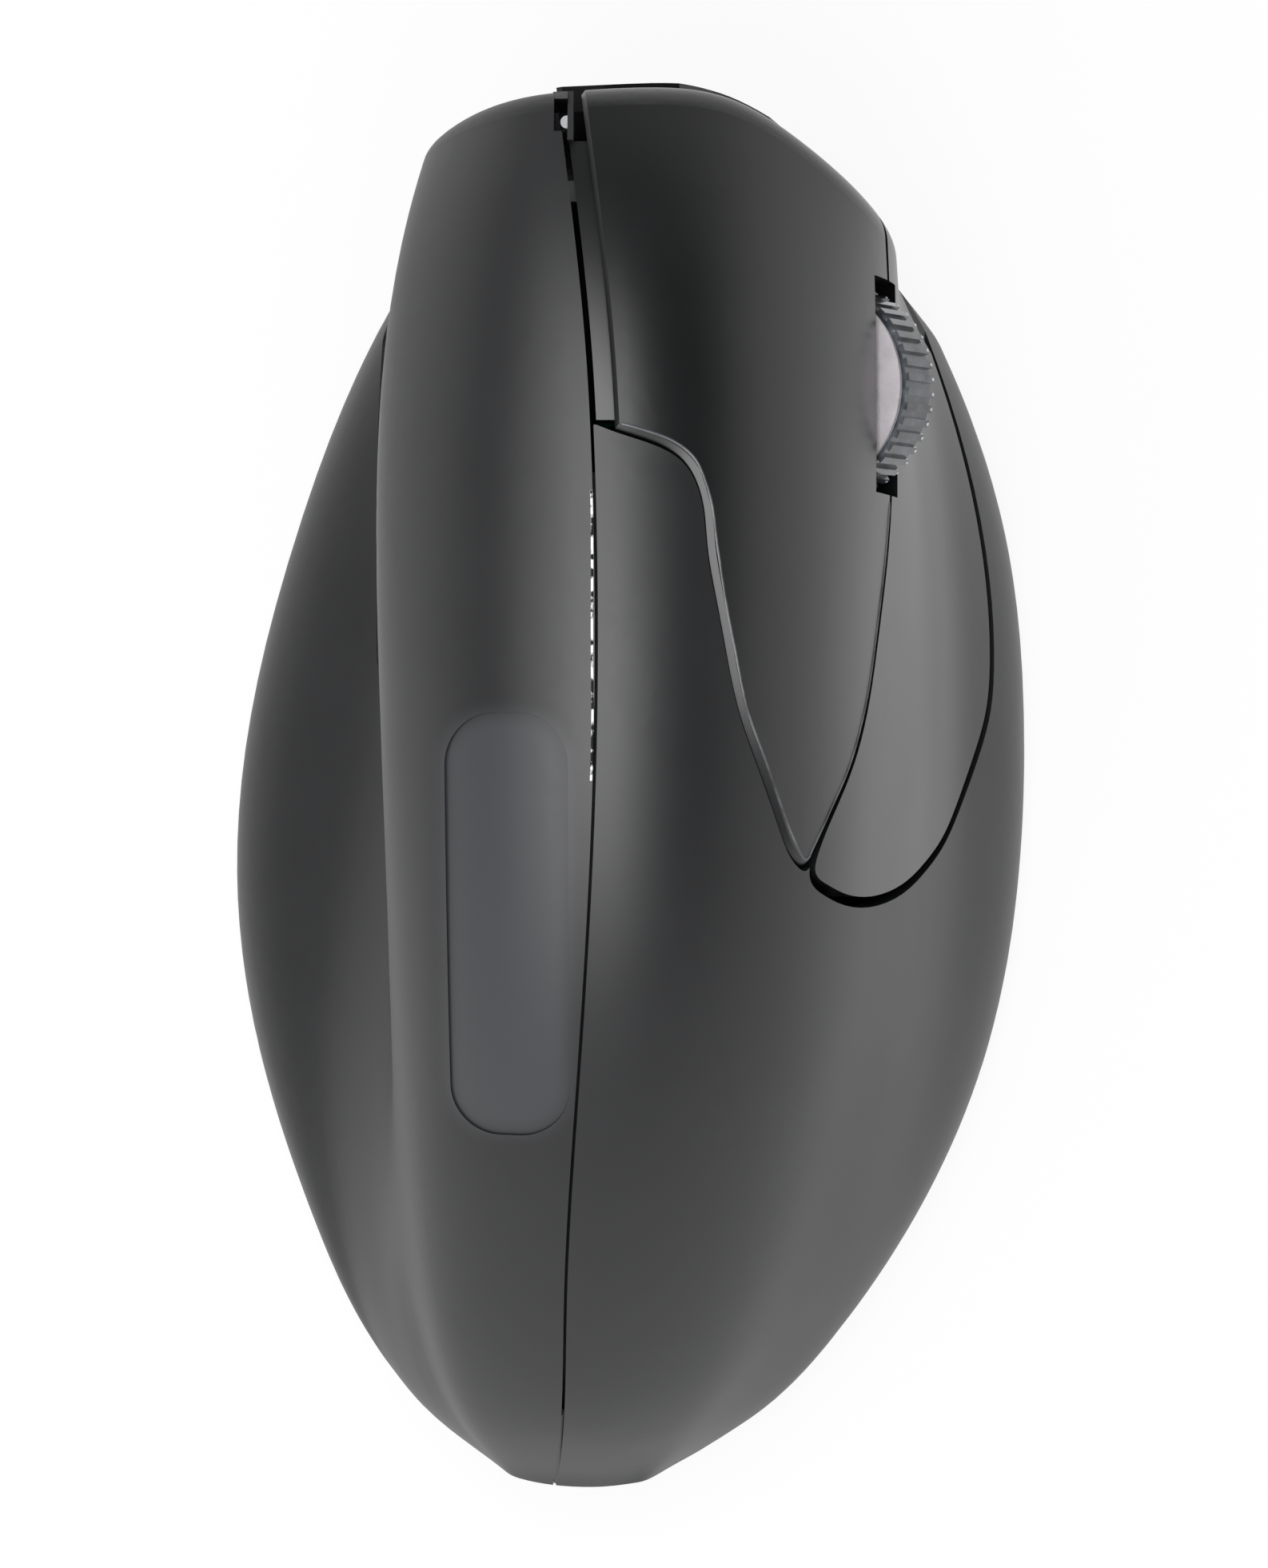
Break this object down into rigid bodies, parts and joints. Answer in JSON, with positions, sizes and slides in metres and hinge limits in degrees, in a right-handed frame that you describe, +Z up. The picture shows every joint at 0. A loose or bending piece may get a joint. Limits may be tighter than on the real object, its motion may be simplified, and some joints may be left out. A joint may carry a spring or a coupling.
{
  "type": "vertical computer mouse",
  "caption": "Upright ergonomic pointing device: tall domed shell with a thumb ledge, slanted click covers, scroll wheel, thumb keys, battery door and stored receiver.",
  "frame": {"origin": "middle of the footprint, on the surface the device stands on", "axes": "+X towards the finger side, -X towards the thumb side, +Y to the front, +Z up"},
  "size_m": [0.0719, 0.1176, 0.0701],
  "materials": {
    "shell_satin_plastic": "satin moulded",
    "cover_satin_plastic": "satin moulded",
    "key_plastic": "semi gloss",
    "front_plastic": "gloss",
    "base_plastic": "fine texture",
    "slide_foot": "slick low friction plastic",
    "frame_plastic": "plain moulded",
    "cell_jacket": "printed foil jacket without print",
    "spring_steel": "nickel plated",
    "screw_steel": "zinc plated",
    "receiver_plastic": "satin",
    "receiver_metal": "plated",
    "clear_lens": "clear moulded",
    "board_laminate": "solder masked laminate",
    "switch_plastic": "moulded",
    "plunger_plastic": "moulded",
    "wheel_silver_plastic": "plated gloss",
    "tyre_rubber": "notched",
    "chip_epoxy": "moulded",
    "ribbon_film": "flat film"
  },
  "bodies": {
    "housing": {"palm_shell": "shell_satin_plastic", "thumb_shell": "shell_satin_plastic", "front_bezel": "front_plastic", "front_foot": "slide_foot", "rear_foot": "slide_foot", "side_feet": "slide_foot", "base_plate": "base_plastic", "battery_left": "cell_jacket", "battery_right": "cell_jacket", "battery_contacts": "spring_steel", "battery_springs": "spring_steel", "button_frame": "frame_plastic", "indicator_lens": "clear_lens", "hinge_pin": "spring_steel", "button_board": "board_laminate", "index_switch": "switch_plastic", "middle_switch": "switch_plastic", "wheel_switch": "switch_plastic", "side_board": "board_laminate", "forward_switch": "switch_plastic", "back_switch": "switch_plastic", "main_board": "board_laminate", "controller_chip": "chip_epoxy", "optical_sensor": "chip_epoxy", "sensor_lens": "clear_lens", "power_switch": "switch_plastic", "board_ribbon": "ribbon_film", "case_screws": "screw_steel", "board_screws": "screw_steel"},
    "index_cover": {"index_button": "cover_satin_plastic"},
    "middle_cover": {"middle_button": "cover_satin_plastic"},
    "index_stem": {"index_plunger": "plunger_plastic"},
    "middle_stem": {"middle_plunger": "plunger_plastic"},
    "wheel_slider": {"wheel_carrier": "frame_plastic", "wheel_encoder": "switch_plastic"},
    "scroll_wheel": {"wheel_hub": "wheel_silver_plastic", "wheel_tyre": "tyre_rubber"},
    "wheel_stem": {"wheel_plunger": "plunger_plastic"},
    "forward_key": {"forward_button": "key_plastic"},
    "back_key": {"back_button": "key_plastic"},
    "forward_stem": {"forward_plunger": "plunger_plastic"},
    "back_stem": {"back_plunger": "plunger_plastic"},
    "power_slider": {"power_knob": "plunger_plastic"},
    "door": {"battery_door": "base_plastic"},
    "receiver": {"receiver_cap": "receiver_plastic", "receiver_plug": "receiver_metal"}
  },
  "joints": [
    {"name": "index_click", "type": "hinge", "parent": "housing", "child": "index_cover", "pos_m": [0.01772, 0.008, 0.04071], "axis": [-0.5736, 0, 0.8192], "range_deg": [0, 0.44762], "stiffness_Nm_per_rad": 2.5, "springref_deg": -0.23},
    {"name": "middle_click", "type": "hinge", "parent": "housing", "child": "middle_cover", "pos_m": [0.01772, 0.008, 0.04071], "axis": [-0.5736, 0, 0.8192], "range_deg": [0, 0.44762], "stiffness_Nm_per_rad": 2.5, "springref_deg": -0.23},
    {"name": "index_stem_slide", "type": "slide", "parent": "housing", "child": "index_stem", "axis": [-0.8192, 0, -0.5736], "range_m": [0, 0.0003]},
    {"name": "middle_stem_slide", "type": "slide", "parent": "housing", "child": "middle_stem", "axis": [-0.8192, 0, -0.5736], "range_m": [0, 0.0003]},
    {"name": "wheel_click", "type": "slide", "parent": "housing", "child": "wheel_slider", "axis": [-0.8192, 0, -0.5736], "range_m": [0, 0.0004], "stiffness_N_per_m": 2500, "springref_m": -0.0002},
    {"name": "wheel_stem_slide", "type": "slide", "parent": "housing", "child": "wheel_stem", "axis": [-0.8192, 0, -0.5736], "range_m": [0, 0.0004]},
    {"name": "wheel_spin", "type": "hinge", "parent": "wheel_slider", "child": "scroll_wheel", "pos_m": [0.01625, 0.0356, 0.04089], "axis": [0.5736, 0, -0.8192], "continuous": true},
    {"name": "forward_click", "type": "slide", "parent": "housing", "child": "forward_key", "axis": [0.9272, 0, 0.3746], "range_m": [0, 0.0006], "stiffness_N_per_m": 1200, "springref_m": -0.0002},
    {"name": "back_click", "type": "slide", "parent": "housing", "child": "back_key", "axis": [0.9272, 0, 0.3746], "range_m": [0, 0.0006], "stiffness_N_per_m": 1200, "springref_m": -0.0002},
    {"name": "forward_stem_slide", "type": "slide", "parent": "housing", "child": "forward_stem", "axis": [0.9272, 0, 0.3746], "range_m": [0, 0.0006]},
    {"name": "back_stem_slide", "type": "slide", "parent": "housing", "child": "back_stem", "axis": [0.9272, 0, 0.3746], "range_m": [0, 0.0006]},
    {"name": "power_slide", "type": "slide", "parent": "housing", "child": "power_slider", "axis": [0, 1, 0], "range_m": [0, 0.0024]},
    {"name": "door_swing", "type": "hinge", "parent": "housing", "child": "door", "pos_m": [-0.0036, 0.0005, 0.0009], "axis": [1, 0, 0], "range_deg": [0, 70]},
    {"name": "receiver_pull", "type": "slide", "parent": "housing", "child": "receiver", "axis": [0, 0, -1], "range_m": [0, 0.02]}
  ],
  "couplings": [
    {"joint": "index_stem_slide", "follows": "index_click", "m_per_rad": 0.032},
    {"joint": "middle_stem_slide", "follows": "middle_click", "m_per_rad": 0.032},
    {"joint": "wheel_stem_slide", "follows": "wheel_click", "ratio": 1},
    {"joint": "forward_stem_slide", "follows": "forward_click", "ratio": 1},
    {"joint": "back_stem_slide", "follows": "back_click", "ratio": 1}
  ]
}
